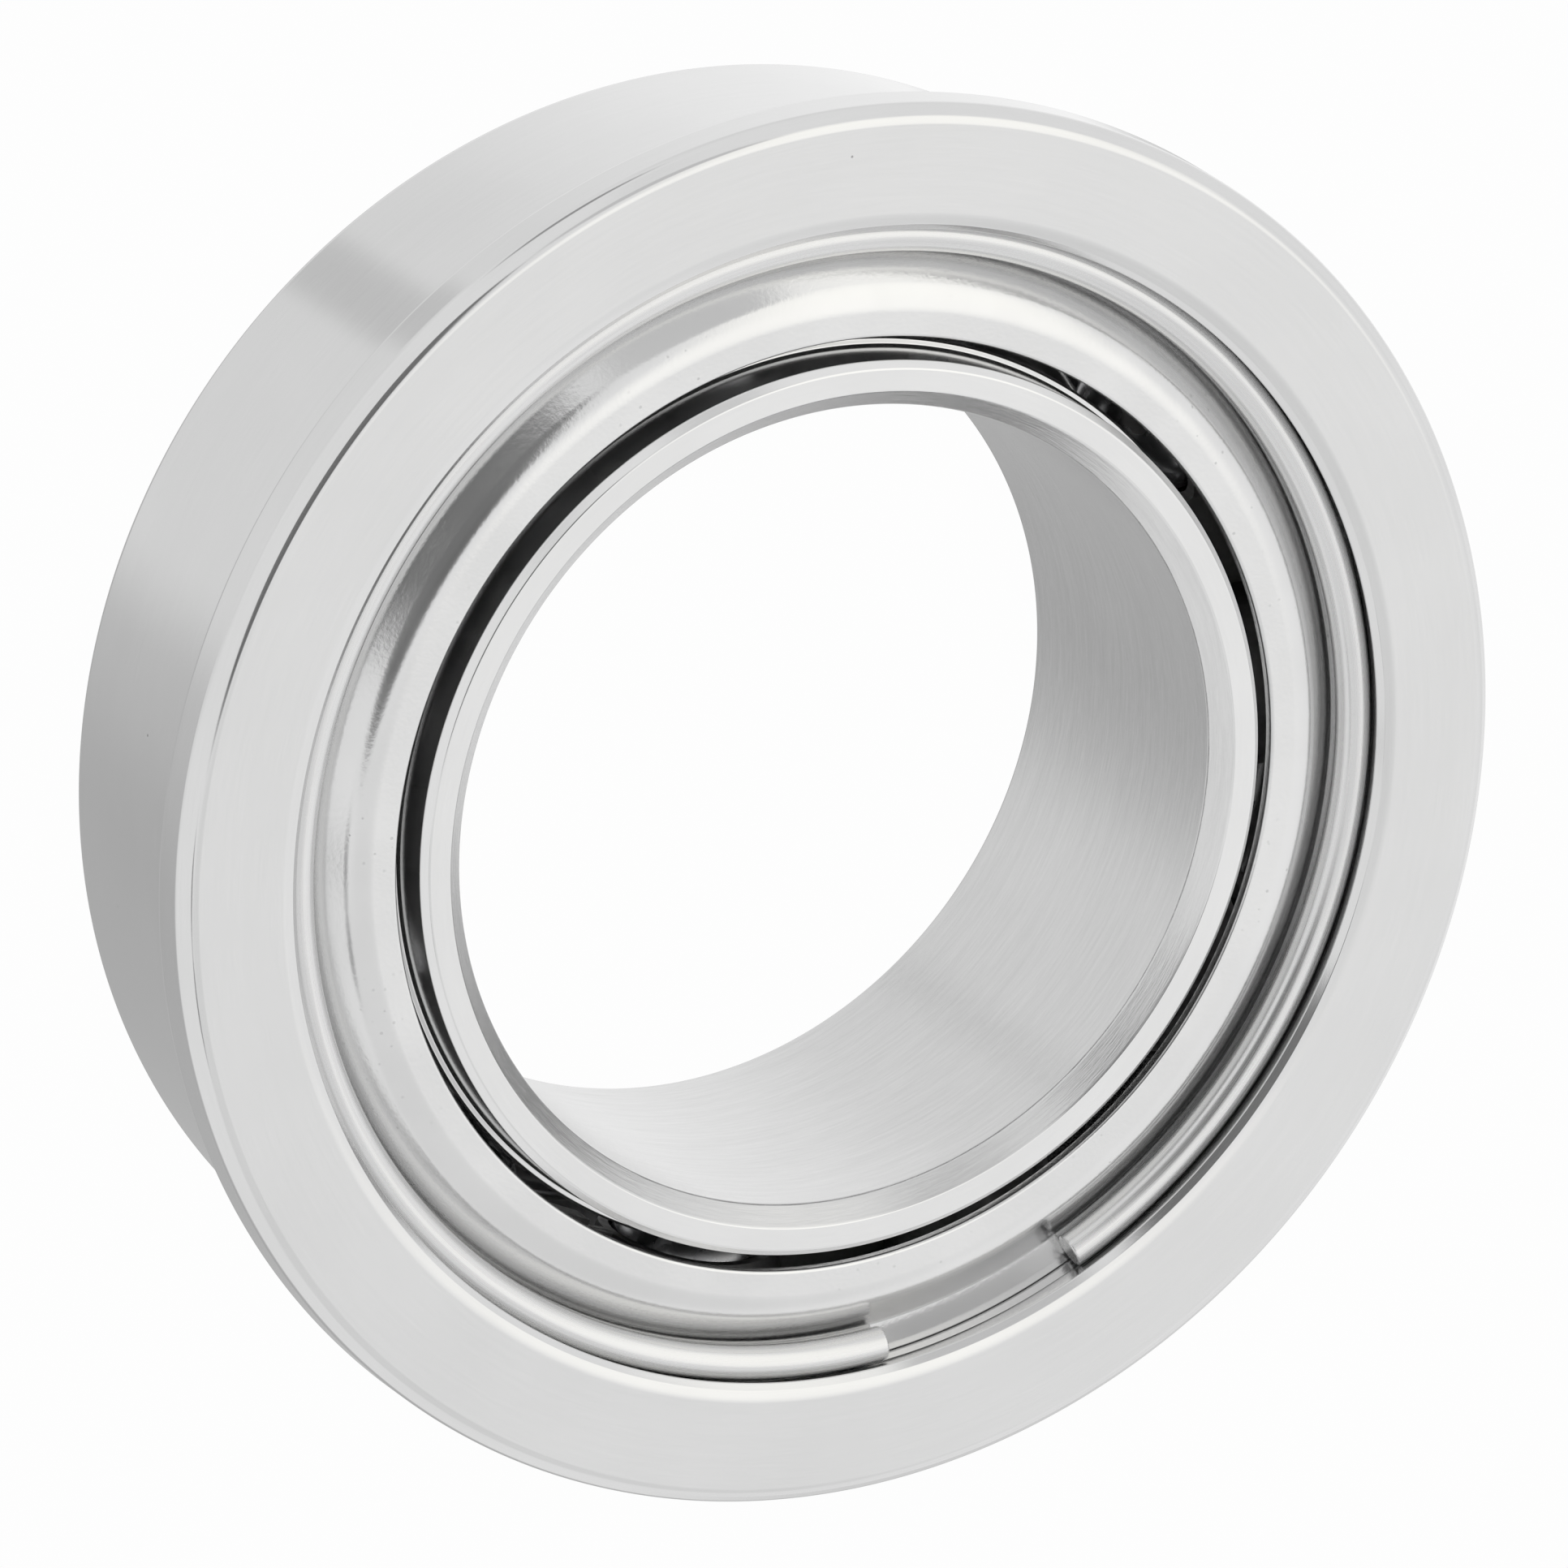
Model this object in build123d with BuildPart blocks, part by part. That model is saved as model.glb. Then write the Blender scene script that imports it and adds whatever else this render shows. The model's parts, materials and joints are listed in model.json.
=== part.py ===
"""Flanged miniature ball bearing, inch size 5/16 x 1/2 x 5/32, with two snap-in shields.

The bearing stands upright. Its axis is the Y axis, the flanged front face looks along -Y, +Z is up,
and the origin is on the axis, half way across the rings. All sizes are in millimetres.
Depths are measured into the bearing from the nearer of its two faces.
"""

import os
from math import atan2, cos, radians, sin, tan

from build123d import *

os.makedirs("parts", exist_ok=True)

# Catalogue sizes
BORE_D = 7.9375
OUTSIDE_D = 12.700
WIDTH = 3.967
FLANGE_D = 13.894
FLANGE_W = 0.787
BALL_D = 1.5875
BALL_COUNT = 11

# Raceways
PITCH_R = (BORE_D + OUTSIDE_D) / 4
RACE_CURVATURE = 0.52
BALL_PLAY = 0.015
INNER_LAND_R = 4.53
OUTER_LAND_R = 5.62

# Outer ring
FLANGE_FRONT_CHAMFER_W = 0.125
FLANGE_FRONT_CHAMFER_DEPTH = 0.135
FLANGE_FRONT_SOFT_EDGE = 0.12
FLANGE_BACK_CHAMFER = 0.26
REAR_CORNER_CHAMFER = 0.39
SOFT_EDGE = 0.08
RELIEF_DEPTH = 0.06
RELIEF_W = 0.25
LIP_R = 5.725
LIP_DEPTH = 0.075
LIP_CHAMFER_W = 0.11
GROOVE_R = 5.80
TAPER_DEPTH = 0.36

# Inner ring
BORE_CHAMFER = 0.19
SHOULDER_R = 4.445
SHOULDER_CHAMFER = 0.07
SHOULDER_DEPTH = 0.55

# Shields, pressed from thin sheet
SHEET = 0.12
SHIELD_INNER_R = 4.635
SHIELD_FLAT_R = 5.037
SHIELD_FLAT_DEPTH = 0.163
SHIELD_VALLEY_R = 5.457
SHIELD_RIM_DEPTH = 0.515
SHIELD_RIM_GAP = 0.01
CREST_RADIUS = 0.43
VALLEY_RADIUS = 0.06
PUNCHED_EDGE = 0.03

# Snap wires, round spring wire bent to an open ring
WIRE_D = 0.34
WIRE_RING_R = 5.610
WIRE_GAP = 21.5
FRONT_WIRE_START = -84.2
REAR_WIRE_START = 96.0
WIRE_SEAT_GAP = 0.003

# Cage, two pressed ribbons joined by folded tabs
RIBBON = 0.10
RIBBON_INNER_R = 4.88
RIBBON_OUTER_R = 5.44
POCKET_PLAY = 0.046
TAB_W = 0.46
TAB_T = 0.08
TAB_REACH = 0.16
TAB_GAP = 0.01
TAB_ROOT = 0.12

# Worked out from the sizes above
BORE_R = BORE_D / 2
OUTSIDE_R = OUTSIDE_D / 2
FLANGE_R = FLANGE_D / 2
BALL_R = BALL_D / 2
RACE_R = RACE_CURVATURE * BALL_D
INNER_RACE_BOTTOM_R = PITCH_R - BALL_R - BALL_PLAY
OUTER_RACE_BOTTOM_R = PITCH_R + BALL_R + BALL_PLAY
SEAT_DEPTH = SHIELD_RIM_DEPTH + SHEET
POCKET_R = BALL_R + POCKET_PLAY
BALL_PITCH_ANGLE = 360 / BALL_COUNT
FRONT, REAR = -1, 1


def at_depth(side, depth):
    """Y of a point that lies a depth inside the front or the rear face."""
    return side * (WIDTH / 2 - depth)


def corner(sketch, r, y):
    """The vertex of a section nearest to a radius and a Y."""
    return sketch.vertices().sort_by_distance((r, y, 0))[0]


def save(part, name):
    """Label one finished piece and write its STEP file."""
    part.label = name
    export_step(part, f"parts/{name}.step")


# The outer ring: flange, relief behind it, body, and an undercut mouth on each side that holds the
# shield against its seat by the snap wire.
with BuildPart() as outer_ring:
    with BuildSketch(Plane.XY) as outer_section:
        relief_r = OUTSIDE_R - RELIEF_DEPTH
        relief_end = FLANGE_W + RELIEF_W
        with BuildLine():
            Polyline(
                (LIP_R, at_depth(FRONT, LIP_DEPTH)),
                (LIP_R + LIP_CHAMFER_W, at_depth(FRONT, 0)),
                (FLANGE_R - FLANGE_FRONT_CHAMFER_W, at_depth(FRONT, 0)),
                (FLANGE_R, at_depth(FRONT, FLANGE_FRONT_CHAMFER_DEPTH)),
                (FLANGE_R, at_depth(FRONT, FLANGE_W)),
                (relief_r, at_depth(FRONT, FLANGE_W)),
                (relief_r, at_depth(FRONT, relief_end)),
                (OUTSIDE_R, at_depth(FRONT, relief_end + RELIEF_DEPTH)),
                (OUTSIDE_R, at_depth(REAR, 0)),
                (LIP_R + LIP_CHAMFER_W, at_depth(REAR, 0)),
                (LIP_R, at_depth(REAR, LIP_DEPTH)),
                (GROOVE_R, at_depth(REAR, TAPER_DEPTH)),
                (GROOVE_R, at_depth(REAR, SEAT_DEPTH)),
                (OUTER_LAND_R, at_depth(REAR, SEAT_DEPTH)),
                (OUTER_LAND_R, at_depth(FRONT, SEAT_DEPTH)),
                (GROOVE_R, at_depth(FRONT, SEAT_DEPTH)),
                (GROOVE_R, at_depth(FRONT, TAPER_DEPTH)),
                close=True,
            )
        make_face()
        front_edge = [
            corner(outer_section, FLANGE_R - FLANGE_FRONT_CHAMFER_W, at_depth(FRONT, 0)),
            corner(outer_section, FLANGE_R, at_depth(FRONT, FLANGE_FRONT_CHAMFER_DEPTH)),
        ]
        fillet(front_edge, radius=FLANGE_FRONT_SOFT_EDGE)
        chamfer(corner(outer_section, FLANGE_R, at_depth(FRONT, FLANGE_W)), length=FLANGE_BACK_CHAMFER)
        chamfer(corner(outer_section, OUTSIDE_R, at_depth(REAR, 0)), length=REAR_CORNER_CHAMFER)
        soft_corners = [
            (FLANGE_R, at_depth(FRONT, FLANGE_W - FLANGE_BACK_CHAMFER)),
            (FLANGE_R - FLANGE_BACK_CHAMFER, at_depth(FRONT, FLANGE_W)),
            (OUTSIDE_R, at_depth(REAR, REAR_CORNER_CHAMFER)),
            (OUTSIDE_R - REAR_CORNER_CHAMFER, at_depth(REAR, 0)),
        ]
        for soft_r, soft_y in soft_corners:
            fillet(corner(outer_section, soft_r, soft_y), radius=SOFT_EDGE)
        with Locations((OUTER_RACE_BOTTOM_R - RACE_R, 0)):
            Circle(RACE_R, mode=Mode.SUBTRACT)
    revolve(axis=Axis.Y)
save(outer_ring.part, "outer_ring")


# The inner ring: bore, two flat faces, low shoulders under the shields, and the inner raceway.
with BuildPart() as inner_ring:
    with BuildSketch(Plane.XY) as inner_section:
        with BuildLine():
            Polyline(
                (BORE_R, at_depth(FRONT, 0)),
                (SHOULDER_R, at_depth(FRONT, 0)),
                (SHOULDER_R, at_depth(FRONT, SHOULDER_DEPTH)),
                (INNER_LAND_R, at_depth(FRONT, SHOULDER_DEPTH)),
                (INNER_LAND_R, at_depth(REAR, SHOULDER_DEPTH)),
                (SHOULDER_R, at_depth(REAR, SHOULDER_DEPTH)),
                (SHOULDER_R, at_depth(REAR, 0)),
                (BORE_R, at_depth(REAR, 0)),
                close=True,
            )
        make_face()
        for side in (FRONT, REAR):
            chamfer(corner(inner_section, BORE_R, at_depth(side, 0)), length=BORE_CHAMFER)
            chamfer(corner(inner_section, SHOULDER_R, at_depth(side, 0)), length=SHOULDER_CHAMFER)
        with Locations((INNER_RACE_BOTTOM_R + RACE_R, 0)):
            Circle(RACE_R, mode=Mode.SUBTRACT)
    revolve(axis=Axis.Y)
save(inner_ring.part, "inner_ring")


def shield(side):
    """A dished shield: a flat annulus near the face, a slope, and a rim that lies on its seat."""
    slope = atan2(SHIELD_RIM_DEPTH - SHIELD_FLAT_DEPTH, SHIELD_VALLEY_R - SHIELD_FLAT_R)
    back_shift = SHEET * tan(slope / 2)
    rim_r = GROOVE_R - SHIELD_RIM_GAP
    flat_y, flat_back_y = at_depth(side, SHIELD_FLAT_DEPTH), at_depth(side, SHIELD_FLAT_DEPTH + SHEET)
    rim_y, rim_back_y = at_depth(side, SHIELD_RIM_DEPTH), at_depth(side, SEAT_DEPTH)
    with BuildPart() as pressing:
        with BuildSketch(Plane.XY) as section:
            with BuildLine():
                Polyline(
                    (SHIELD_INNER_R, flat_y),
                    (SHIELD_FLAT_R, flat_y),
                    (SHIELD_VALLEY_R, rim_y),
                    (rim_r, rim_y),
                    (rim_r, rim_back_y),
                    (SHIELD_VALLEY_R - back_shift, rim_back_y),
                    (SHIELD_FLAT_R - back_shift, flat_back_y),
                    (SHIELD_INNER_R, flat_back_y),
                    close=True,
                )
            make_face()
            fillet(corner(section, SHIELD_FLAT_R, flat_y), radius=CREST_RADIUS)
            fillet(corner(section, SHIELD_FLAT_R - back_shift, flat_back_y), radius=CREST_RADIUS - SHEET)
            fillet(corner(section, SHIELD_VALLEY_R, rim_y), radius=VALLEY_RADIUS)
            fillet(corner(section, SHIELD_VALLEY_R - back_shift, rim_back_y), radius=VALLEY_RADIUS + SHEET)
            fillet(corner(section, SHIELD_INNER_R, flat_y), radius=PUNCHED_EDGE)
        revolve(axis=Axis.Y)
    return pressing.part


save(shield(FRONT), "front_shield")
save(shield(REAR), "rear_shield")


def axial_plane(angle):
    """The half plane that holds the axis at an angle from +X towards +Z. Sketch X is the radius."""
    turn = radians(angle)
    return Plane(origin=(0, 0, 0), x_dir=(cos(turn), 0, sin(turn)), z_dir=(-sin(turn), 0, cos(turn)))


def snap_wire(side, start_angle):
    """An open ring of round spring wire, pressed on the shield's rim by the undercut mouth."""
    centre_depth = SHIELD_RIM_DEPTH - WIRE_SEAT_GAP - WIRE_D / 2
    with BuildPart() as wire:
        with BuildSketch(axial_plane(start_angle)):
            with Locations((WIRE_RING_R, at_depth(side, centre_depth))):
                Circle(WIRE_D / 2)
        revolve(axis=Axis.Y, revolution_arc=360 - WIRE_GAP)
    return wire.part


save(snap_wire(FRONT, FRONT_WIRE_START), "front_snap_wire")
save(snap_wire(REAR, REAR_WIRE_START), "rear_snap_wire")


# The balls, evenly spaced on the pitch circle, each a piece of its own.
for index in range(BALL_COUNT):
    with BuildPart(Plane.XZ) as ball:
        with PolarLocations(PITCH_R, 1, start_angle=index * BALL_PITCH_ANGLE):
            Sphere(BALL_R)
    save(ball.part, f"ball_{index + 1:02d}")


def ribbon(side):
    """One cage ribbon: a flat band at the centre plane, bulged round each ball on its own side."""
    with BuildPart(Plane.XZ) as band:
        Cylinder(RIBBON_OUTER_R, 2 * RIBBON)
        with PolarLocations(PITCH_R, BALL_COUNT):
            Sphere(POCKET_R + RIBBON)
        with BuildSketch(Plane.XZ):
            Circle(RIBBON_OUTER_R)
            Circle(RIBBON_INNER_R, mode=Mode.SUBTRACT)
        extrude(amount=-side * WIDTH / 2, mode=Mode.INTERSECT)
        with PolarLocations(PITCH_R, BALL_COUNT):
            Sphere(POCKET_R, mode=Mode.SUBTRACT)
    return band.part


def tab_section(edge_r, outward):
    """The section of one tab: from the front ribbon, over the rear ribbon's edge, and folded down."""
    web_r = edge_r + outward * TAB_GAP
    back_r = web_r + outward * TAB_T
    fold_y = RIBBON + TAB_GAP
    Polyline(
        (edge_r - outward * TAB_ROOT, -RIBBON),
        (back_r, -RIBBON),
        (back_r, fold_y + TAB_T),
        (back_r - outward * TAB_REACH, fold_y + TAB_T),
        (back_r - outward * TAB_REACH, fold_y),
        (web_r, fold_y),
        (web_r, 0),
        (edge_r - outward * TAB_ROOT, 0),
        close=True,
    )


save(ribbon(REAR), "cage_rear_half")

# The front half carries the tabs, a pair between every two balls.
with BuildPart() as cage_front_half:
    add(ribbon(FRONT))
    for index in range(BALL_COUNT):
        for edge_r, outward in ((RIBBON_OUTER_R, 1), (RIBBON_INNER_R, -1)):
            with BuildSketch(axial_plane((index + 0.5) * BALL_PITCH_ANGLE)):
                with BuildLine():
                    tab_section(edge_r, outward)
                make_face()
            extrude(amount=TAB_W / 2, both=True)
save(cage_front_half.part, "cage_front_half")
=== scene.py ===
"""The looks of a flanged miniature ball bearing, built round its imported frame.

The bearing's axis is the Y axis, its flanged front face looks along -Y, and +Z is up. Sections are
written in millimetres as (radius, y) corners and turned into meshes in metres. Depths are measured
into the bearing from the nearer of its two faces, as on a drawing.
"""

import json
import math

import bmesh
import bpy
from mathutils import Matrix, Vector

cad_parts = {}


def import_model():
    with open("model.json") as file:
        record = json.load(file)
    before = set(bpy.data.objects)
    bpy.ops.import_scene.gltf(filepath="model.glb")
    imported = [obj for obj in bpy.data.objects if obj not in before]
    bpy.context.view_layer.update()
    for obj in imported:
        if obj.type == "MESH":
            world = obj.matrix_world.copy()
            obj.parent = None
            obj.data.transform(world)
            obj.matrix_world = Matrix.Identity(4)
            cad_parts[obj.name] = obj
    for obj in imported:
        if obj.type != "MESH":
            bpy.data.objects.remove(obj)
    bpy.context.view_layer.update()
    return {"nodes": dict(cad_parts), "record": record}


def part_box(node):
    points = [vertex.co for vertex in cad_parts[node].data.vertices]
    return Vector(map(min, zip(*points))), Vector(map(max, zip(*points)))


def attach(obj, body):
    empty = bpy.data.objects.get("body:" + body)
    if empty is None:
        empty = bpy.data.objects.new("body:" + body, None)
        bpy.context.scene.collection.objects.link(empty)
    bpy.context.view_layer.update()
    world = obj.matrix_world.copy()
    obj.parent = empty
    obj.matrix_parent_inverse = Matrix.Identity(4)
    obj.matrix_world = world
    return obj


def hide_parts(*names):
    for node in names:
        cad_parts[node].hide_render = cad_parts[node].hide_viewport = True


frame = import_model()

MM = 0.001
FRONT, REAR = -1, 1

# Sizes that the frame gives
mounts = {mount["name"]: mount for mount in frame["record"]["mounts"]}
outer_low, outer_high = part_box("outer_ring")
HALF_W = outer_high.y / MM
FLANGE_R = max(outer_high.x, outer_high.z) / MM
OUTSIDE_R = mounts["housing_seat"]["dims"]["r_mm"]
BORE_R = mounts["shaft_bore"]["dims"]["r_mm"]
FLANGE_W = (mounts["flange_back"]["pos_m"][1] - outer_low.y) / MM
INNER_LAND_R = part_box("inner_ring")[1].x / MM
BALL_R = (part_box("ball_01")[1].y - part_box("ball_01")[0].y) / 2 / MM
PITCH_R = (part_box("ball_01")[1].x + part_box("ball_01")[0].x) / 2 / MM
BALLS = sorted(name for name in frame["nodes"] if name.startswith("ball_"))
CAGE_HALVES = {FRONT: "cage_front_half", REAR: "cage_rear_half"}
WIRE_D = (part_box("front_snap_wire")[1].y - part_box("front_snap_wire")[0].y) / MM

# Outer ring section, in millimetres
FLANGE_FRONT_CHAMFER_W = 0.125
FLANGE_FRONT_CHAMFER_DEPTH = 0.135
FLANGE_FRONT_SOFT_EDGE = 0.12
FLANGE_BACK_CHAMFER = 0.26
REAR_CORNER_CHAMFER = 0.39
RELIEF_DEPTH = 0.06
RELIEF_W = 0.25
LIP_R = 5.725
LIP_DEPTH = 0.075
MOUTH_R = 5.79
MOUTH_DEPTH = 0.018
ROLL_OFF_R = 5.865
ROLL_OFF_RADIUS = 0.4
GROOVE_R = 5.80
TAPER_DEPTH = 0.36
SEAT_DEPTH = 0.635
OUTER_LAND_R = 5.62
RACE_R = 0.8255
RACE_PLAY = 0.015

# Inner ring section
BORE_CHAMFER = 0.19
BORE_EDGE_R = BORE_R + BORE_CHAMFER
FINISH_BLEND = 0.02
SHOULDER_R = 4.445
SHOULDER_CHAMFER = 0.07
SHOULDER_DEPTH = 0.55

# Shield section
SHEET = 0.12
SHIELD_INNER_R = 4.635
SHIELD_FLAT_R = 5.037
SHIELD_FLAT_DEPTH = 0.163
SHIELD_VALLEY_R = 5.457
SHIELD_RIM_DEPTH = 0.515
SHIELD_RIM_GAP = 0.004
SHIELD_RIM_R = GROOVE_R - SHIELD_RIM_GAP
CREST_RADIUS = 0.43
VALLEY_RADIUS = 0.06

# Snap wires
WIRE_RING_R = 5.610
WIRE_SEAT_GAP = 0.003
WIRE_GAP = 21.5
WIRE_START = {FRONT: -84.2, REAR: 96.0}
WIRE_EDGE = 0.025

# Balls: cuts along each edge of the cube that a ball is made from
BALL_CUTS = 17

# Light: the tent's own white, and the plain white that the camera sees round the bearing
TENT = (1.0, 1.0, 1.0)
BACKDROP = (0.985, 0.985, 0.985)

# Camera
LENS = 586.19
SENSOR = 36.0
AZIMUTH = -26.60
ELEVATION = 19.42
DISTANCE = 241.76
AIM_RIGHT = 0.583
AIM_DOWN = 0.264


def at_depth(side, depth):
    """Y of a point that lies a depth inside the front or the rear face, in millimetres."""
    return side * (HALF_W - depth)


# ---------------------------------------------------------------- meshes

def rounded_outline(corners, arc_step=12.0):
    """Points (r, y) and outward normals of a closed section whose corners (r, y, radius) are rounded."""
    area = sum(a[0] * b[1] - b[0] * a[1] for a, b in zip(corners, corners[1:] + corners[:1]))
    if area < 0:
        corners = corners[::-1]
    points, normals = [], []
    for index, (r, y, radius) in enumerate(corners):
        here = Vector((r, y))
        before = Vector(corners[index - 1][:2])
        after = Vector(corners[(index + 1) % len(corners)][:2])
        way_in = (here - before).normalized()
        way_out = (after - here).normalized()
        turn = math.atan2(way_in.x * way_out.y - way_in.y * way_out.x, way_in.dot(way_out))
        start = here - way_in * radius * math.tan(abs(turn) / 2)
        side = math.copysign(1, turn)
        centre = start + Vector((-way_in.y, way_in.x)) * radius * side
        steps = max(2, math.ceil(math.degrees(abs(turn)) / arc_step))
        for step in range(steps + 1):
            angle = turn * step / steps
            tangent = Matrix.Rotation(angle, 2) @ way_in
            right = Vector((tangent.y, -tangent.x))
            points.append(centre + right * radius * side)
            normals.append(right)
    return points, normals


def new_object(name, mesh, body):
    """Link a mesh as an object that rides on a CAD body."""
    piece = bpy.data.objects.new(name, mesh)
    bpy.context.scene.collection.objects.link(piece)
    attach(piece, body)
    return piece


def mesh_with_normals(name, vertices, faces, normals):
    """A smooth mesh whose vertex normals are the exact ones of the surface it stands for."""
    mesh = bpy.data.meshes.new(name)
    mesh.from_pydata(vertices, [], faces)
    mesh.shade_smooth()
    mesh.normals_split_custom_set_from_vertices(normals)
    return mesh


def lathe(name, corners, body, segments=540, arc_step=12.0):
    """Turn a rounded section about the Y axis into one closed ring."""
    points, section_normals = rounded_outline(corners, arc_step)
    vertices, normals, faces = [], [], []
    count = len(points)
    for segment in range(segments):
        angle = 2 * math.pi * segment / segments
        c, s = math.cos(angle), math.sin(angle)
        for point, normal in zip(points, section_normals):
            vertices.append((point.x * c * MM, point.y * MM, point.x * s * MM))
            normals.append((normal.x * c, normal.y, normal.x * s))
    for segment in range(segments):
        here, there = segment * count, (segment + 1) % segments * count
        for index in range(count):
            after = (index + 1) % count
            faces.append((here + index, here + after, there + after, there + index))
    return new_object(name, mesh_with_normals(name, vertices, faces, normals), body)


def race_corners(centre_r, land_r):
    """The section corners of a raceway cut into a land: its two edges and the arc between them."""
    reach = land_r - centre_r
    half = math.sqrt(RACE_R**2 - reach**2)
    apex_r = centre_r + RACE_R**2 / reach
    edge = 0.02
    return [(land_r, half, edge), (apex_r, 0, RACE_R * 0.975), (land_r, -half, edge)]


# ---------------------------------------------------------------- pieces

def outer_ring():
    """Flange, relief, body, and on each side the undercut mouth that holds a shield."""
    relief_r = OUTSIDE_R - RELIEF_DEPTH
    relief_end = FLANGE_W + RELIEF_W
    race_centre = PITCH_R + BALL_R + RACE_PLAY - RACE_R

    def mouth(side):
        return [
            (OUTER_LAND_R, at_depth(side, SEAT_DEPTH), 0.01),
            (GROOVE_R, at_depth(side, SEAT_DEPTH), 0.01),
            (GROOVE_R, at_depth(side, TAPER_DEPTH), 0.07),
            (LIP_R, at_depth(side, LIP_DEPTH), 0.02),
            (MOUTH_R, at_depth(side, MOUTH_DEPTH), 0.02),
            (ROLL_OFF_R, at_depth(side, 0), ROLL_OFF_RADIUS),
        ]

    corners = mouth(FRONT) + [
        (FLANGE_R - FLANGE_FRONT_CHAMFER_W, at_depth(FRONT, 0), FLANGE_FRONT_SOFT_EDGE),
        (FLANGE_R, at_depth(FRONT, FLANGE_FRONT_CHAMFER_DEPTH), FLANGE_FRONT_SOFT_EDGE),
        (FLANGE_R, at_depth(FRONT, FLANGE_W - FLANGE_BACK_CHAMFER), 0.08),
        (FLANGE_R - FLANGE_BACK_CHAMFER, at_depth(FRONT, FLANGE_W), 0.08),
        (relief_r, at_depth(FRONT, FLANGE_W), 0.03),
        (relief_r, at_depth(FRONT, relief_end), 0.03),
        (OUTSIDE_R, at_depth(FRONT, relief_end + RELIEF_DEPTH), 0.03),
        (OUTSIDE_R, at_depth(REAR, REAR_CORNER_CHAMFER), 0.12),
        (OUTSIDE_R - REAR_CORNER_CHAMFER, at_depth(REAR, 0), 0.08),
    ]
    corners += mouth(REAR)[::-1] + race_corners(race_centre, OUTER_LAND_R)
    piece = lathe("outer_ring_turned", corners, "outer", arc_step=10.0)
    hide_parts("outer_ring")
    return piece


def inner_ring():
    """Bore, two faces, the low shoulders under the shields, and the raceway."""
    race_centre = PITCH_R - BALL_R - RACE_PLAY + RACE_R

    def end(side):
        return [
            (INNER_LAND_R, at_depth(side, SHOULDER_DEPTH), 0.03),
            (SHOULDER_R, at_depth(side, SHOULDER_DEPTH), 0.03),
            (SHOULDER_R, at_depth(side, SHOULDER_CHAMFER), 0.03),
            (SHOULDER_R - SHOULDER_CHAMFER, at_depth(side, 0), 0.03),
            (BORE_R + BORE_CHAMFER, at_depth(side, 0), 0.015),
            (BORE_R, at_depth(side, BORE_CHAMFER), 0.06),
        ]

    corners = end(FRONT) + end(REAR)[::-1] + race_corners(race_centre, INNER_LAND_R)
    piece = lathe("inner_ring_turned", corners, "inner", arc_step=8.0)
    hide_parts("inner_ring")
    return piece


def shield(side, node):
    """A dished pressing: flat annulus, slope, valley and rim, one sheet thick."""
    slope = math.atan2(SHIELD_RIM_DEPTH - SHIELD_FLAT_DEPTH, SHIELD_VALLEY_R - SHIELD_FLAT_R)
    back_shift = SHEET * math.tan(slope / 2)
    corners = [
        (SHIELD_INNER_R, at_depth(side, SHIELD_FLAT_DEPTH), 0.035),
        (SHIELD_FLAT_R, at_depth(side, SHIELD_FLAT_DEPTH), CREST_RADIUS),
        (SHIELD_VALLEY_R, at_depth(side, SHIELD_RIM_DEPTH), VALLEY_RADIUS),
        (SHIELD_RIM_R, at_depth(side, SHIELD_RIM_DEPTH), 0.02),
        (SHIELD_RIM_R, at_depth(side, SHIELD_RIM_DEPTH + SHEET), 0.02),
        (SHIELD_VALLEY_R - back_shift, at_depth(side, SHIELD_RIM_DEPTH + SHEET), VALLEY_RADIUS + SHEET),
        (SHIELD_FLAT_R - back_shift, at_depth(side, SHIELD_FLAT_DEPTH + SHEET), CREST_RADIUS - SHEET),
        (SHIELD_INNER_R, at_depth(side, SHIELD_FLAT_DEPTH + SHEET), 0.015),
    ]
    piece = lathe(node + "_pressed", corners, "outer", arc_step=6.0)
    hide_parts(node)
    return piece


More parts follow.
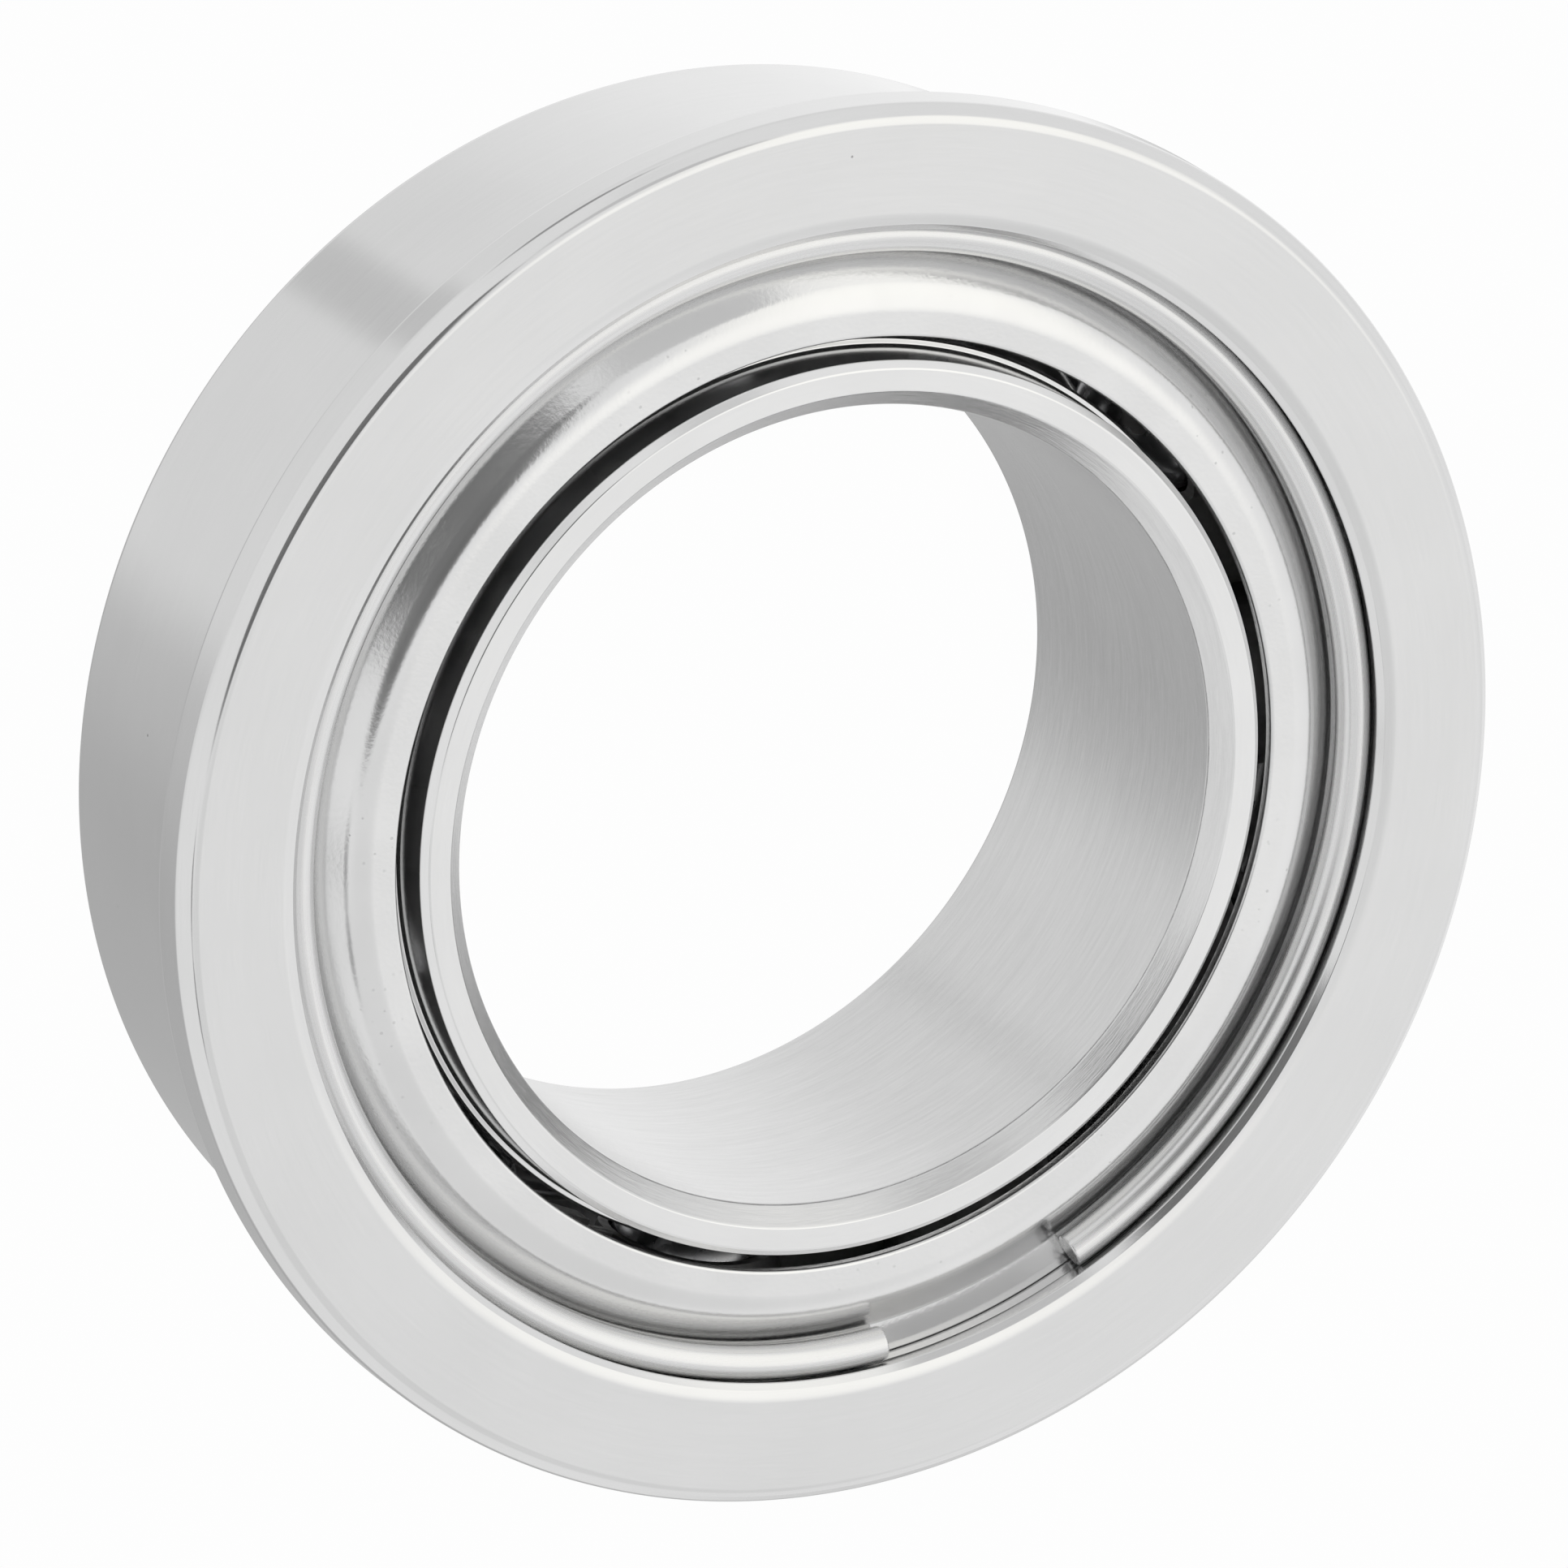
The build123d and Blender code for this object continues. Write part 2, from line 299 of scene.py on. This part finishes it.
def snap_wire(side, node):
    """An open ring of round spring wire, its cut ends square with slightly broken edges."""
    radius = WIRE_D / 2
    centre_y = at_depth(side, SHIELD_RIM_DEPTH - WIRE_SEAT_GAP - radius)
    start = math.radians(WIRE_START[side])
    sweep = math.radians(360 - WIRE_GAP)
    around, along, edge_steps = 48, 420, 5

    # each station is its angle along the wire, how far its circle shrinks, and its normals' tilt
    broken_edge = []
    for step in range(edge_steps + 1):
        tilt = math.radians(90) * (1 - step / edge_steps)
        inset = WIRE_EDGE * (1 - math.sin(tilt)) / WIRE_RING_R
        broken_edge.append((inset, WIRE_EDGE * (1 - math.cos(tilt)), tilt))
    straight_start = broken_edge[-1][0]
    straight = sweep - 2 * straight_start
    middle = [(straight_start + straight * step / along, 0.0, 0.0) for step in range(1, along)]
    far_edge = [(sweep - angle, shrink, -tilt) for angle, shrink, tilt in reversed(broken_edge)]

    vertices, normals, faces = [], [], []
    for angle, shrink, tilt in broken_edge + middle + far_edge:
        turn = start - angle
        out = Vector((math.cos(turn), 0, math.sin(turn)))
        towards_start = Vector((-math.sin(turn), 0, math.cos(turn)))
        centre = out * WIRE_RING_R + Vector((0, centre_y, 0))
        for index in range(around):
            spot = 2 * math.pi * index / around
            face_out = out * math.cos(spot) + Vector((0, 1, 0)) * math.sin(spot)
            vertices.append((centre + face_out * (radius - shrink)) * MM)
            normals.append(face_out * math.cos(tilt) + towards_start * math.sin(tilt))
    rings = len(vertices) // around
    for ring in range(rings - 1):
        here, there = ring * around, (ring + 1) * around
        for index in range(around):
            after = (index + 1) % around
            faces.append((here + index, there + index, there + after, here + after))
    faces.append(tuple(range(around)))
    faces.append(tuple((rings - 1) * around + index for index in reversed(range(around))))
    piece = new_object(node + "_bent", mesh_with_normals(node, vertices, faces, normals), "outer")
    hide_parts(node)
    return piece


def ball(node):
    """A lapped ball: a cube's evenly divided faces pushed out to the sphere."""
    low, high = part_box(node)
    centre = (low + high) / 2
    mesh_builder = bmesh.new()
    bmesh.ops.create_cube(mesh_builder, size=2)
    bmesh.ops.subdivide_edges(mesh_builder, edges=mesh_builder.edges, cuts=BALL_CUTS, use_grid_fill=True)
    for vertex in mesh_builder.verts:
        # equal angles along each cube face keep the quads nearly equal on the sphere
        even = Vector(math.tan(math.pi / 4 * c) for c in vertex.co)
        vertex.co = even.normalized()
    mesh = bpy.data.meshes.new(node)
    mesh_builder.to_mesh(mesh)
    mesh_builder.free()
    normals = [vertex.co.copy() for vertex in mesh.vertices]
    for vertex in mesh.vertices:
        vertex.co = centre + vertex.co * BALL_R * MM
    mesh.shade_smooth()
    mesh.normals_split_custom_set_from_vertices(normals)
    piece = new_object(node + "_lapped", mesh, node)
    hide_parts(node)
    return piece


# ---------------------------------------------------------------- materials

def node_material(name):
    """An empty node material and its Principled shader, set to bare metal with a trace of oil film."""
    material = bpy.data.materials.new(name)
    material.use_nodes = True
    shader = material.node_tree.nodes["Principled BSDF"]
    shader.inputs["Metallic"].default_value = 0.95
    return material, material.node_tree, shader


def add_node(tree, kind, sources=(), **settings):
    """Add a node; sources fill its inputs in order, with sockets to link or plain values."""
    node = tree.nodes.new(kind)
    for name, value in settings.items():
        setattr(node, name, value)
    for socket, source in zip(node.inputs, sources):
        if isinstance(source, bpy.types.NodeSocket):
            tree.links.new(source, socket)
        elif source is not None:
            socket.default_value = source
    return node


def maths(tree, operation, *sources):
    """One maths node's result."""
    return add_node(tree, "ShaderNodeMath", sources, operation=operation).outputs[0]


def spread(tree, source, low, high, to_low, to_high):
    """Map a value's range from low..high to to_low..to_high, smoothly and within those ends."""
    mapped = add_node(tree, "ShaderNodeMapRange", (source, low, high, to_low, to_high))
    mapped.interpolation_type = "SMOOTHSTEP"
    return mapped.outputs[0]


def turned_coordinates(tree):
    """The point in millimetres, its radius from the bearing's axis, and its way round the axis."""
    point = add_node(tree, "ShaderNodeTexCoord").outputs["Object"]
    scaled = add_node(tree, "ShaderNodeVectorMath", (point, (1 / MM,) * 3), operation="MULTIPLY").outputs[0]
    flat = add_node(tree, "ShaderNodeVectorMath", (scaled, (1, 0, 1)), operation="MULTIPLY").outputs[0]
    radius = add_node(tree, "ShaderNodeVectorMath", (flat,), operation="LENGTH").outputs["Value"]
    round_way = add_node(tree, "ShaderNodeVectorMath", (flat,), operation="NORMALIZE").outputs[0]
    return scaled, radius, round_way


def noise(tree, vector, w, scale, detail=2.0, roughness=0.5):
    """Noise of a vector, with W as a fourth coordinate where one is given."""
    texture = add_node(tree, "ShaderNodeTexNoise", noise_dimensions="4D" if w is not None else "3D")
    tree.links.new(vector, texture.inputs["Vector"])
    if w is not None:
        tree.links.new(w, texture.inputs["W"])
    texture.inputs["Scale"].default_value = scale
    texture.inputs["Detail"].default_value = detail
    texture.inputs["Roughness"].default_value = roughness
    return texture.outputs["Fac"]


def turned_lines(tree, length, width, detail=3.0):
    """Fine lines that run round the axis: length in radians, width in millimetres."""
    scaled, radius, round_way = turned_coordinates(tree)
    axial = add_node(tree, "ShaderNodeSeparateXYZ", (scaled,)).outputs["Y"]
    stretch = (1 / length, 0, 1 / length)
    along = add_node(tree, "ShaderNodeVectorMath", (round_way, stretch), operation="MULTIPLY")
    across = maths(tree, "DIVIDE", axial, width)
    lifted = add_node(tree, "ShaderNodeCombineXYZ", (0.0, across, 0.0)).outputs[0]
    place = add_node(tree, "ShaderNodeVectorMath", (along.outputs[0], lifted), operation="ADD").outputs[0]
    return noise(tree, place, maths(tree, "DIVIDE", radius, width), 1.0, detail, 0.6)


def specks(tree, spacing, size, share):
    """Sparse round specks, 1 inside and 0 outside: a share of the cells of this spacing holds one."""
    scaled = turned_coordinates(tree)[0]
    cells = add_node(tree, "ShaderNodeTexVoronoi", distance="EUCLIDEAN")
    tree.links.new(scaled, cells.inputs["Vector"])
    cells.inputs["Scale"].default_value = 1 / spacing
    spot = spread(tree, cells.outputs["Distance"], size / spacing * 0.6, size / spacing, 1.0, 0.0)
    chance = add_node(tree, "ShaderNodeSeparateXYZ", (cells.outputs["Color"],)).outputs["X"]
    chosen = maths(tree, "LESS_THAN", chance, share)
    return maths(tree, "MULTIPLY", spot, chosen)


def grey_scale(tree, tint, value):
    """The tint scaled by a value."""
    scaled = add_node(tree, "ShaderNodeVectorMath", (tint,), operation="SCALE")
    tree.links.new(value, scaled.inputs["Scale"])
    return scaled.outputs[0]


def bump(tree, shader, height, reach):
    """Bump of a height whose full range is this many millimetres."""
    relief = add_node(tree, "ShaderNodeBump")
    relief.inputs["Strength"].default_value = 1.0
    relief.inputs["Distance"].default_value = reach * MM
    tree.links.new(height, relief.inputs["Height"])
    tree.links.new(relief.outputs["Normal"], shader.inputs["Normal"])


def bore_to_faces(tree, radius, in_bore, on_faces):
    """A value that changes from the bore and its chamfers to the rest of the ring."""
    return spread(tree, radius, BORE_EDGE_R - FINISH_BLEND, BORE_EDGE_R, in_bore, on_faces)


def ground_steel(name, tint, face_roughness, bore_roughness):
    """Ground and polished ring steel: faint turned lines, and a coarser ground finish in the bore, whose
    colour is also made darker than the faces'.
    """
    material, tree, shader = node_material(name)
    scaled, radius = turned_coordinates(tree)[:2]
    fine = turned_lines(tree, 0.05, 0.012)
    coarse = turned_lines(tree, 0.22, 0.05)
    cloud = noise(tree, scaled, None, 0.55, 3.0)
    grain = noise(tree, scaled, None, 60.0, 2.0)
    dirt = specks(tree, 0.45, 0.016, 0.16)

    lines = maths(tree, "MULTIPLY", maths(tree, "ADD", fine, coarse), 0.5)
    contrast = bore_to_faces(tree, radius, 0.045, 0.012)
    # the bore and its chamfers get a darker colour than the faces
    tone = bore_to_faces(tree, radius, 0.88, 1.0)
    streaks = spread(tree, lines, 0.3, 0.7, -1.0, 1.0)
    shade = maths(tree, "ADD", tone, maths(tree, "MULTIPLY", contrast, streaks))
    shade = maths(tree, "MULTIPLY", shade, spread(tree, cloud, 0.3, 0.7, 0.985, 1.012))
    shade = maths(tree, "MULTIPLY", shade, maths(tree, "SUBTRACT", 1.0, maths(tree, "MULTIPLY", dirt, 0.45)))
    tree.links.new(grey_scale(tree, tint, shade), shader.inputs["Base Color"])

    smooth = spread(tree, fine, 0.25, 0.75, face_roughness * 0.85, face_roughness * 1.2)
    rough = spread(tree, fine, 0.25, 0.75, bore_roughness * 0.85, bore_roughness * 1.2)
    mixed = add_node(tree, "ShaderNodeMix", (bore_to_faces(tree, radius, 1.0, 0.0), None, smooth, rough))
    tree.links.new(mixed.outputs[0], shader.inputs["Roughness"])

    groove = maths(tree, "MULTIPLY", lines, bore_to_faces(tree, radius, 1.0, 0.05))
    height = maths(tree, "ADD", groove, maths(tree, "MULTIPLY", grain, 0.05))
    bump(tree, shader, height, 0.0022)
    return material


def sheet_steel(name, tint, roughness):
    """Bright pressed sheet: a slight orange peel that breaks up the edges of reflections, and pitting."""
    material, tree, shader = node_material(name)
    scaled = turned_coordinates(tree)[0]
    peel = noise(tree, scaled, None, 22.0, 3.0, 0.55)
    cloud = noise(tree, scaled, None, 0.9, 3.0)
    pits = specks(tree, 0.10, 0.02, 0.35)
    patchy = spread(tree, noise(tree, scaled, None, 0.45, 1.0), 0.5, 0.66, 0.0, 1.0)
    worn = maths(tree, "MULTIPLY", pits, patchy)
    shade = spread(tree, cloud, 0.3, 0.7, 0.97, 1.02)
    shade = maths(tree, "MULTIPLY", shade, maths(tree, "SUBTRACT", 1.0, maths(tree, "MULTIPLY", worn, 0.22)))
    tree.links.new(grey_scale(tree, tint, shade), shader.inputs["Base Color"])
    haze = spread(tree, cloud, 0.3, 0.7, roughness * 0.85, roughness * 1.2)
    tree.links.new(haze, shader.inputs["Roughness"])
    pitted = maths(tree, "SUBTRACT", peel, maths(tree, "MULTIPLY", worn, 0.5))
    bump(tree, shader, pitted, 0.0010)
    return material


def drawn_steel(name, tint, roughness):
    """Drawn spring wire: lines along its length and short scratches across it."""
    material, tree, shader = node_material(name)
    drawn = turned_lines(tree, 0.30, 0.022)
    across = turned_lines(tree, 0.004, 0.35, 1.0)
    nicks = spread(tree, across, 0.66, 0.74, 0.0, 1.0)
    shade = spread(tree, drawn, 0.3, 0.7, 0.96, 1.03)
    rough = spread(tree, drawn, 0.25, 0.75, roughness * 0.8, roughness * 1.3)
    tree.links.new(grey_scale(tree, tint, shade), shader.inputs["Base Color"])
    tree.links.new(rough, shader.inputs["Roughness"])
    bump(tree, shader, maths(tree, "SUBTRACT", drawn, maths(tree, "MULTIPLY", nicks, 0.3)), 0.0010)
    return material


def lapped_steel(name, tint, roughness):
    """Lapped balls under a film of oil, which dulls them with a soft haze; their dark tint is painted shade
    of the hollow between the rings.
    """
    material, tree, shader = node_material(name)
    scaled = turned_coordinates(tree)[0]
    haze = noise(tree, scaled, None, 3.0, 4.0)
    hairline = noise(tree, scaled, None, 45.0, 2.0)
    shade = spread(tree, haze, 0.3, 0.7, 0.985, 1.01)
    tree.links.new(grey_scale(tree, tint, shade), shader.inputs["Base Color"])
    tree.links.new(spread(tree, haze, 0.3, 0.7, roughness * 0.8, roughness * 1.4), shader.inputs["Roughness"])
    bump(tree, shader, hairline, 0.00012)
    return material


def pressed_ribbon_steel(name, tint, roughness):
    """Tumbled cage ribbon, tinted very dark as painted shade of the hollow between the rings: a satin skin
    with fine random dents.
    """
    material, tree, shader = node_material(name)
    scaled = turned_coordinates(tree)[0]
    dents = noise(tree, scaled, None, 14.0, 4.0, 0.6)
    cloud = noise(tree, scaled, None, 1.5, 3.0)
    shade = spread(tree, cloud, 0.3, 0.7, 0.94, 1.03)
    rough = spread(tree, dents, 0.3, 0.7, roughness * 0.8, roughness * 1.3)
    tree.links.new(grey_scale(tree, tint, shade), shader.inputs["Base Color"])
    tree.links.new(rough, shader.inputs["Roughness"])
    bump(tree, shader, dents, 0.004)
    return material


# ---------------------------------------------------------------- stage

def camera():
    """The camera, aimed from the front left and a little above."""
    turn, tilt = math.radians(AZIMUTH), math.radians(ELEVATION)
    right = Vector((math.cos(turn), math.sin(turn), 0))
    up = Vector((-math.sin(turn) * math.sin(tilt), math.cos(turn) * math.sin(tilt), math.cos(tilt)))
    back = right.cross(up)
    target = Vector((0, -HALF_W, 0))
    place = (target - right * AIM_RIGHT + up * AIM_DOWN + back * DISTANCE) * MM
    data = bpy.data.cameras.new("camera")
    data.lens = LENS
    data.sensor_width = SENSOR
    data.clip_start = 0.01
    data.clip_end = 10.0
    view = bpy.data.objects.new("camera", data)
    view.matrix_world = Matrix.Translation(place) @ Matrix((right, up, back)).transposed().to_4x4()
    bpy.context.scene.collection.objects.link(view)
    bpy.context.scene.camera = view


def floor():
    """A plain pale floor under the flange, lit from below like a light table, so it takes no shadow."""
    reach = 0.5
    mesh = bpy.data.meshes.new("floor")
    corners = [(-reach, -reach), (reach, -reach), (reach, reach), (-reach, reach)]
    mesh.from_pydata([(x, y, -FLANGE_R * MM) for x, y in corners], [], [(0, 1, 2, 3)])
    plane = bpy.data.objects.new("floor", mesh)
    bpy.context.scene.collection.objects.link(plane)
    plane.visible_glossy = False
    material = bpy.data.materials.new("floor_white")
    material.use_nodes = True
    tree = material.node_tree
    tree.nodes.clear()
    glow = add_node(tree, "ShaderNodeEmission", ((*BACKDROP, 1), 1.0))
    output = add_node(tree, "ShaderNodeOutputMaterial")
    tree.links.new(glow.outputs[0], output.inputs["Surface"])
    plane.data.materials.append(material)


# The studio round the bearing: what each soft area is, the way to it, how far it reaches from its
# middle, how wide its soft edge is (both in degrees) and how bright it is.
STUDIO = [
    ("back of the tent", (0, 1, 0), 60, 20, (0.92, 0.92, 0.92)),
    ("tent front right", (0.42, -0.84, -0.33), 30, 30, (1.06, 1.06, 1.06)),
    ("low front left", (-0.07, -0.76, -0.65), 31, 8, (0.89, 0.89, 0.89)),
    ("near half of the softbox", (0.488, -0.865, 0.12), 17, 11, (1.36, 1.35, 1.31)),
    ("far half of the softbox", (0.546, -0.654, 0.523), 18, 12, (1.38, 1.37, 1.32)),
    ("side of the softbox", (0.077, -0.58, 0.811), 13, 3, (0.72, 0.72, 0.72)),
    ("opening at the top", (-0.158, 0.078, 0.984), 9, 5, (0.35, 0.35, 0.35)),
    ("far side of the tent", (0.53, 0.84, 0.10), 20, 22, (1.09, 1.09, 1.09)),
    ("edge of the table behind", (-0.075, 0.843, -0.532), 41, 4, (0.66, 0.66, 0.66)),
    ("table behind", (-0.075, 0.843, -0.532), 30, 8, (0.53, 0.53, 0.53)),
    ("card behind", (-0.208, 0.843, 0.4955), 3.4, 1.4, (0.70, 0.70, 0.70)),
    ("stand", (-0.702, -0.65, -0.289), 4.5, 2.5, (0.32, 0.32, 0.32)),
    ("stand foot", (-0.628, -0.616, -0.476), 4.5, 2.5, (0.34, 0.34, 0.34)),
    ("camera", (-0.389, -0.89, 0.239), 19, 4, (0.16, 0.16, 0.16)),
    ("left side of the camera stand", (-0.547, -0.764, 0.342), 13, 3, (0.19, 0.19, 0.19)),
    ("right side of the camera stand", (-0.39, -0.754, 0.528), 15, 3, (0.19, 0.19, 0.19)),
]


def world():
    """A white tent with soft lighter and darker areas; the camera itself sees plain white."""
    world_data = bpy.data.worlds.new("studio")
    world_data.use_nodes = True
    tree = world_data.node_tree
    background = tree.nodes["Background"]
    way = add_node(tree, "ShaderNodeTexCoord").outputs["Generated"]
    light = None
    for name, direction, reach, edge, colour in STUDIO:
        unit = Vector(direction).normalized()
        aim = add_node(tree, "ShaderNodeVectorMath", (way, unit), operation="DOT_PRODUCT").outputs["Value"]
        outside = math.cos(math.radians(reach + edge))
        inside = math.cos(math.radians(max(reach - edge, 0)))
        share = spread(tree, aim, outside, inside, 0.0, 1.0)
        blend = add_node(tree, "ShaderNodeMix", data_type="RGBA", label=name)
        tree.links.new(share, blend.inputs["Factor"])
        blend.inputs["A"].default_value = (*TENT, 1)
        if light is not None:
            tree.links.new(light, blend.inputs["A"])
        blend.inputs["B"].default_value = (*colour, 1)
        light = blend.outputs["Result"]
    seen = add_node(tree, "ShaderNodeLightPath").outputs["Is Camera Ray"]
    split = add_node(tree, "ShaderNodeMix", data_type="RGBA")
    tree.links.new(seen, split.inputs["Factor"])
    tree.links.new(light, split.inputs["A"])
    split.inputs["B"].default_value = (*BACKDROP, 1)
    tree.links.new(split.outputs["Result"], background.inputs["Color"])
    world_data.cycles.sampling_method = "NONE"
    bpy.context.scene.world = world_data


# ---------------------------------------------------------------- assembly

scene = bpy.context.scene
scene.view_settings.view_transform = "Standard"
# light is passed on many times between the walls of the mouth, and stays sharp
scene.cycles.max_bounces = 16
scene.cycles.glossy_bounces = 16
scene.cycles.blur_glossy = 0.1

ring_finish = ground_steel("ring_steel", (0.68, 0.68, 0.68), 0.10, 0.26)
inner_finish = ground_steel("inner_ring_steel", (0.73, 0.73, 0.73), 0.15, 0.21)
shield_finish = sheet_steel("shield_steel", (0.71, 0.71, 0.71), 0.15)
wire_finish = drawn_steel("wire_steel", (0.69, 0.69, 0.69), 0.26)
# the balls' tint is kept dark as painted shade of the hollow between the rings
ball_finish_painted_dark = lapped_steel("ball_steel", (0.50, 0.50, 0.51), 0.22)
# the cage's very dark tint is painted shade of the hollow between the rings
cage_finish_painted_dark = pressed_ribbon_steel("cage_steel", (0.26, 0.26, 0.26), 0.48)

outer_ring().data.materials.append(ring_finish)
inner_ring().data.materials.append(inner_finish)
for side, place in ((FRONT, "front"), (REAR, "rear")):
    shield(side, place + "_shield").data.materials.append(shield_finish)
    snap_wire(side, place + "_snap_wire").data.materials.append(wire_finish)
for name in BALLS:
    ball(name).data.materials.append(ball_finish_painted_dark)
for node in CAGE_HALVES.values():
    for material_slot in bpy.data.objects[node].material_slots:
        material_slot.material = cage_finish_painted_dark
floor()
camera()
world()
